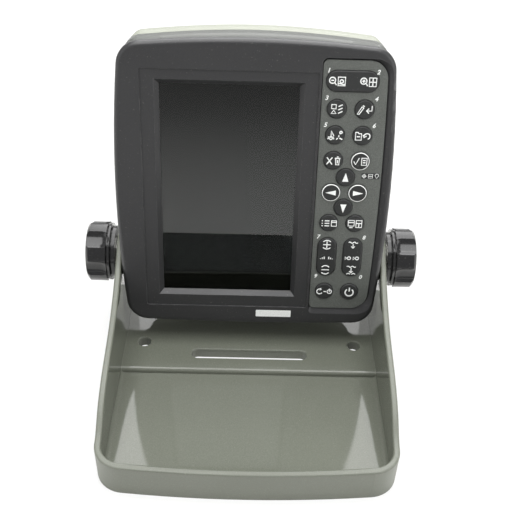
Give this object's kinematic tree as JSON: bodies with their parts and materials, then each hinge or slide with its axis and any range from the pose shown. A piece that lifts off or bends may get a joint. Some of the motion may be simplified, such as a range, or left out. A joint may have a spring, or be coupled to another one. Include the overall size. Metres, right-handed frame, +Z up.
{
  "type": "fish finder",
  "caption": "Portable fish finder: display head with a tall screen and a sunk key column, tilting between the arms of a shallow tray bracket on clamp knobs.",
  "frame": {"origin": "midway between the two fixing holes, on the underside of the tray", "axes": "+Z up, +Y to the back, +X to the right as the user sees the screen; the screen faces -Y"},
  "size_m": [0.1808, 0.1644, 0.1688],
  "materials": {
    "tray_plastic": "fine satin moulding, glossy floor",
    "bezel_plastic": "satin dark grey",
    "case_plastic": "satin grey",
    "gasket_rubber": "matte",
    "window_glass": "polished",
    "lcd": "dark display",
    "lcd_frame_steel": "stamped",
    "panel_plastic": "fine texture",
    "mat_rubber": "matte",
    "keypad_board_green": "solder mask",
    "main_board_green": "solder mask",
    "antenna_ceramic": "ceramic",
    "buzzer_plastic": "matte",
    "power_socket_plastic": "moulded",
    "transducer_socket_plastic": "moulded",
    "power_nut_steel": "plated",
    "transducer_nut_steel": "plated",
    "screw_steel": "plated",
    "left_pad_rubber": "matte",
    "right_pad_rubber": "matte",
    "left_insert_brass": "machined",
    "right_insert_brass": "machined",
    "left_washer_steel": "plated",
    "left_knob_plastic": "glossy with matte flutes",
    "left_stud_steel": "threaded",
    "right_washer_steel": "plated",
    "right_knob_plastic": "glossy with matte flutes",
    "right_stud_steel": "threaded",
    "key_mark_rubber": "satin with printed sign",
    "key_input_rubber": "satin with printed sign",
    "key_track_rubber": "satin with printed sign",
    "key_recall_rubber": "satin with printed sign",
    "key_cancel_rubber": "satin with printed sign",
    "key_confirm_rubber": "satin with printed sign",
    "key_up_rubber": "satin with printed sign",
    "key_left_rubber": "satin with printed sign",
    "key_right_rubber": "satin with printed sign",
    "key_down_rubber": "satin with printed sign",
    "key_menu_rubber": "satin with printed sign",
    "key_screen_rubber": "satin with printed sign",
    "key_auto_rubber": "satin with printed sign",
    "key_power_rubber": "satin with printed sign",
    "key_zoom_rubber": "satin with printed sign",
    "key_gain_rubber": "satin with printed sign",
    "key_depth_rubber": "satin with printed sign"
  },
  "bodies": {
    "tray": {"tray_bracket": "tray_plastic"},
    "head": {"front_bezel": "bezel_plastic", "rear_case": "case_plastic", "case_gasket": "gasket_rubber", "screen_window": "window_glass", "lcd_panel": "lcd", "lcd_frame": "lcd_frame_steel", "key_panel": "panel_plastic", "keypad_mat": "mat_rubber", "keypad_board": "keypad_board_green", "main_board": "main_board_green", "gps_antenna": "antenna_ceramic", "buzzer": "buzzer_plastic", "power_socket": "power_socket_plastic", "transducer_socket": "transducer_socket_plastic", "power_socket_nut": "power_nut_steel", "transducer_socket_nut": "transducer_nut_steel", "case_screws": "screw_steel", "left_friction_pad": "left_pad_rubber", "right_friction_pad": "right_pad_rubber", "left_threaded_insert": "left_insert_brass", "right_threaded_insert": "right_insert_brass"},
    "left_clamp": {"left_knob_washer": "left_washer_steel"},
    "left_screw": {"left_knob": "left_knob_plastic", "left_knob_stud": "left_stud_steel"},
    "right_clamp": {"right_knob_washer": "right_washer_steel"},
    "right_screw": {"right_knob": "right_knob_plastic", "right_knob_stud": "right_stud_steel"},
    "key_mark_body": {"key_mark": "key_mark_rubber"},
    "key_input_body": {"key_input": "key_input_rubber"},
    "key_track_body": {"key_track": "key_track_rubber"},
    "key_recall_body": {"key_recall": "key_recall_rubber"},
    "key_cancel_body": {"key_cancel": "key_cancel_rubber"},
    "key_confirm_body": {"key_confirm": "key_confirm_rubber"},
    "key_up_body": {"key_up": "key_up_rubber"},
    "key_left_body": {"key_left": "key_left_rubber"},
    "key_right_body": {"key_right": "key_right_rubber"},
    "key_down_body": {"key_down": "key_down_rubber"},
    "key_menu_body": {"key_menu": "key_menu_rubber"},
    "key_screen_body": {"key_screen": "key_screen_rubber"},
    "key_auto_body": {"key_auto": "key_auto_rubber"},
    "key_power_body": {"key_power": "key_power_rubber"},
    "key_zoom_body": {"key_zoom": "key_zoom_rubber"},
    "key_gain_body": {"key_gain": "key_gain_rubber"},
    "key_depth_body": {"key_depth": "key_depth_rubber"}
  },
  "joints": [
    {"name": "head_tilt", "type": "hinge", "parent": "tray", "child": "head", "pos_m": [0, 0.0314, 0.0439], "axis": [1, 0, 0], "range_deg": [-33, 21]},
    {"name": "left_screw_travel", "type": "slide", "parent": "head", "child": "left_clamp", "axis": [-1, 0, 0], "range_m": [0, 0.00125]},
    {"name": "left_knob_turn", "type": "hinge", "parent": "left_clamp", "child": "left_screw", "pos_m": [0, 0.0314, 0.0439], "axis": [-1, 0, 0], "range_deg": [0, 360]},
    {"name": "right_screw_travel", "type": "slide", "parent": "head", "child": "right_clamp", "axis": [1, 0, 0], "range_m": [0, 0.00125]},
    {"name": "right_knob_turn", "type": "hinge", "parent": "right_clamp", "child": "right_screw", "pos_m": [0, 0.0314, 0.0439], "axis": [1, 0, 0], "range_deg": [0, 360]},
    {"name": "key_mark_press", "type": "slide", "parent": "head", "child": "key_mark_body", "axis": [0, 0.9806, -0.1959], "range_m": [0, 0.0009], "stiffness_N_per_m": 600, "springref_m": -0.0008},
    {"name": "key_input_press", "type": "slide", "parent": "head", "child": "key_input_body", "axis": [0, 0.9806, -0.1959], "range_m": [0, 0.0009], "stiffness_N_per_m": 600, "springref_m": -0.0008},
    {"name": "key_track_press", "type": "slide", "parent": "head", "child": "key_track_body", "axis": [0, 0.9806, -0.1959], "range_m": [0, 0.0009], "stiffness_N_per_m": 600, "springref_m": -0.0008},
    {"name": "key_recall_press", "type": "slide", "parent": "head", "child": "key_recall_body", "axis": [0, 0.9806, -0.1959], "range_m": [0, 0.0009], "stiffness_N_per_m": 600, "springref_m": -0.0008},
    {"name": "key_cancel_press", "type": "slide", "parent": "head", "child": "key_cancel_body", "axis": [0, 0.9806, -0.1959], "range_m": [0, 0.0009], "stiffness_N_per_m": 600, "springref_m": -0.0008},
    {"name": "key_confirm_press", "type": "slide", "parent": "head", "child": "key_confirm_body", "axis": [0, 0.9806, -0.1959], "range_m": [0, 0.0009], "stiffness_N_per_m": 600, "springref_m": -0.0008},
    {"name": "key_up_press", "type": "slide", "parent": "head", "child": "key_up_body", "axis": [0, 0.9806, -0.1959], "range_m": [0, 0.0009], "stiffness_N_per_m": 600, "springref_m": -0.0008},
    {"name": "key_left_press", "type": "slide", "parent": "head", "child": "key_left_body", "axis": [0, 0.9806, -0.1959], "range_m": [0, 0.0009], "stiffness_N_per_m": 600, "springref_m": -0.0008},
    {"name": "key_right_press", "type": "slide", "parent": "head", "child": "key_right_body", "axis": [0, 0.9806, -0.1959], "range_m": [0, 0.0009], "stiffness_N_per_m": 600, "springref_m": -0.0008},
    {"name": "key_down_press", "type": "slide", "parent": "head", "child": "key_down_body", "axis": [0, 0.9806, -0.1959], "range_m": [0, 0.0009], "stiffness_N_per_m": 600, "springref_m": -0.0008},
    {"name": "key_menu_press", "type": "slide", "parent": "head", "child": "key_menu_body", "axis": [0, 0.9806, -0.1959], "range_m": [0, 0.0009], "stiffness_N_per_m": 600, "springref_m": -0.0008},
    {"name": "key_screen_press", "type": "slide", "parent": "head", "child": "key_screen_body", "axis": [0, 0.9806, -0.1959], "range_m": [0, 0.0009], "stiffness_N_per_m": 600, "springref_m": -0.0008},
    {"name": "key_auto_press", "type": "slide", "parent": "head", "child": "key_auto_body", "axis": [0, 0.9806, -0.1959], "range_m": [0, 0.0009], "stiffness_N_per_m": 600, "springref_m": -0.0008},
    {"name": "key_power_press", "type": "slide", "parent": "head", "child": "key_power_body", "axis": [0, 0.9806, -0.1959], "range_m": [0, 0.0009], "stiffness_N_per_m": 600, "springref_m": -0.0008},
    {"name": "key_zoom_rock", "type": "hinge", "parent": "head", "child": "key_zoom_body", "pos_m": [0.04545, 0.02982, 0.15058], "axis": [0, 0.1959, 0.9806], "range_deg": [-3, 3], "stiffness_Nm_per_rad": 0.15},
    {"name": "key_gain_rock", "type": "hinge", "parent": "head", "child": "key_gain_body", "pos_m": [0.0388, 0.01168, 0.06018], "axis": [1, 0, 0], "range_deg": [-3, 3], "stiffness_Nm_per_rad": 0.15},
    {"name": "key_depth_rock", "type": "hinge", "parent": "head", "child": "key_depth_body", "pos_m": [0.0521, 0.01168, 0.06018], "axis": [1, 0, 0], "range_deg": [-3, 3], "stiffness_Nm_per_rad": 0.15}
  ],
  "couplings": [
    {"joint": "left_knob_turn", "follows": "left_screw_travel", "rad_per_m": 5026.5},
    {"joint": "right_knob_turn", "follows": "right_screw_travel", "rad_per_m": 5026.5}
  ]
}
